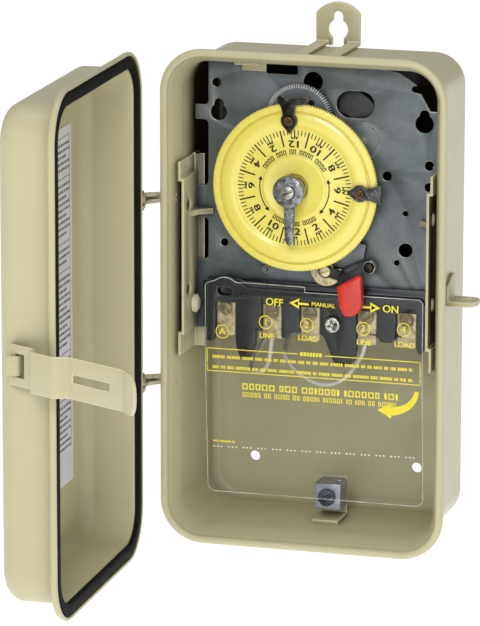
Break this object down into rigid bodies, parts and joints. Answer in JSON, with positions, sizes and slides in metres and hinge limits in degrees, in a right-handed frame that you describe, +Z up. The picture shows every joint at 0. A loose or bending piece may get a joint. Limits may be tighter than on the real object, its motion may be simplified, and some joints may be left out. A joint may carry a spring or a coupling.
{
  "type": "mechanical time switch",
  "caption": "Wall-mounted steel enclosure with a hinged gasketed cover, holding a motor-driven 24-hour dial time switch with trip clips, manual lever and screw terminals.",
  "frame": {"origin": "centre of the enclosure's back face, which lies against the wall", "axes": "+Z up, +X to the right as seen from the front, the front faces -Y"},
  "size_m": [0.1833, 0.2626, 0.2587],
  "materials": {
    "beige_paint": "glossy enamel",
    "plate_steel": "grey-blue passivated steel",
    "zinc_steel": "bright zinc plated",
    "cast_zinc": "stippled die cast",
    "lug_aluminium": "sawn and tumbled",
    "brass_part": "dull brass",
    "dark_steel": "blackened",
    "motor_can": "satin black",
    "dial_yellow": "moulded, printed",
    "lever_red": "moulded",
    "block_black": "moulded phenolic",
    "brown_fibre": "moulded",
    "copper_alloy": "spring bronze",
    "nylon_white": "moulded nylon",
    "clear_sheet": "clear printed film",
    "lead_white": "insulated lead",
    "gasket_black": "foam strip",
    "label_paper": "printed label"
  },
  "bodies": {
    "cabinet": {"enclosure_box": "beige_paint", "hanger_tab": "beige_paint", "padlock_staple": "beige_paint", "hinge_eyes": "zinc_steel", "left_bracket": "beige_paint", "right_bracket": "beige_paint", "nylon_plug": "nylon_white", "plate_clip": "beige_paint", "ground_bracket": "beige_paint", "ground_lug": "lug_aluminium", "ground_screw": "zinc_steel", "mechanism_plate": "plate_steel", "motor_body": "motor_can", "motor_screws": "zinc_steel", "wheel_post": "zinc_steel", "dial_post": "cast_zinc", "time_pointer": "cast_zinc", "pointer_screw": "zinc_steel", "lever_bracket": "plate_steel", "lever_pivot": "brass_part", "toggle_spring": "zinc_steel", "spring_post": "dark_steel", "switch_housing": "block_black", "fixed_contacts": "copper_alloy", "terminal_block": "block_black", "terminal_plates": "brass_part", "terminal_screws": "brass_part", "block_screw": "zinc_steel", "insulator_top": "clear_sheet", "motor_lead_line": "lead_white", "motor_lead_load": "lead_white"},
    "motor_rotor": {"motor_pinion": "brass_part"},
    "wheel": {"gear_wheel": "zinc_steel", "wheel_pinion": "brass_part"},
    "dial_drive": {"dial_gear": "dark_steel"},
    "dial": {"dial_face": "dial_yellow"},
    "on_trip": {"on_clip": "dark_steel", "on_clip_screw": "dark_steel"},
    "off_trip": {"off_clip": "zinc_steel", "off_clip_screw": "dark_steel"},
    "lever": {"lever_cam": "brass_part", "lever_arm": "motor_can", "lever_handle": "lever_red"},
    "contact_rocker": {"contact_bar": "brown_fibre", "contact_blades": "copper_alloy"},
    "flap": {"insulator_flap": "clear_sheet"},
    "door": {"door_shell": "beige_paint", "door_gasket": "gasket_black", "door_label": "label_paper", "hinge_forks": "zinc_steel", "hinge_pins": "zinc_steel"},
    "latch": {"latch_strap": "beige_paint"}
  },
  "joints": [
    {"name": "door_swing", "type": "hinge", "parent": "cabinet", "child": "door", "pos_m": [-0.0785, -0.069, 0], "axis": [0, 0, -1], "range_deg": [-88, 82]},
    {"name": "latch_swing", "type": "hinge", "parent": "door", "child": "latch", "pos_m": [-0.09084, -0.21712, 0], "axis": [0, 0, -1], "range_deg": [-30, 50]},
    {"name": "dial_spin", "type": "hinge", "parent": "cabinet", "child": "dial_drive", "pos_m": [-0.008, -0.05, 0.0534], "axis": [0, -1, 0], "continuous": true},
    {"name": "dial_pull", "type": "slide", "parent": "dial_drive", "child": "dial", "axis": [0, -1, 0], "range_m": [0, 0.003], "stiffness_N_per_m": 150},
    {"name": "on_trip_set", "type": "hinge", "parent": "dial", "child": "on_trip", "pos_m": [-0.008, -0.05, 0.0534], "axis": [0, -1, 0], "range_deg": [-30, 150]},
    {"name": "off_trip_set", "type": "hinge", "parent": "dial", "child": "off_trip", "pos_m": [-0.008, -0.05, 0.0534], "axis": [0, -1, 0], "range_deg": [-150, 30]},
    {"name": "wheel_spin", "type": "hinge", "parent": "cabinet", "child": "wheel", "pos_m": [-0.008, -0.041, 0.0858], "axis": [0, -1, 0], "continuous": true},
    {"name": "motor_spin", "type": "hinge", "parent": "cabinet", "child": "motor_rotor", "pos_m": [0.009, -0.04, 0.07876], "axis": [0, -1, 0], "continuous": true},
    {"name": "lever_swing", "type": "hinge", "parent": "cabinet", "child": "lever", "pos_m": [0.006, -0.043, 0.0128], "axis": [0, -1, 0], "range_deg": [-50, 0]},
    {"name": "contact_rock", "type": "hinge", "parent": "cabinet", "child": "contact_rocker", "pos_m": [0, -0.029, 0.002], "axis": [-1, 0, 0], "range_deg": [-6, 0]},
    {"name": "flap_lift", "type": "hinge", "parent": "cabinet", "child": "flap", "pos_m": [0, -0.0455, -0.036], "axis": [-1, 0, 0], "range_deg": [0, 80]}
  ],
  "couplings": [
    {"joint": "wheel_spin", "follows": "dial_spin", "ratio": -6.2},
    {"joint": "motor_spin", "follows": "dial_spin", "ratio": 41.333},
    {"joint": "contact_rock", "follows": "lever_swing", "ratio": 0.12}
  ]
}
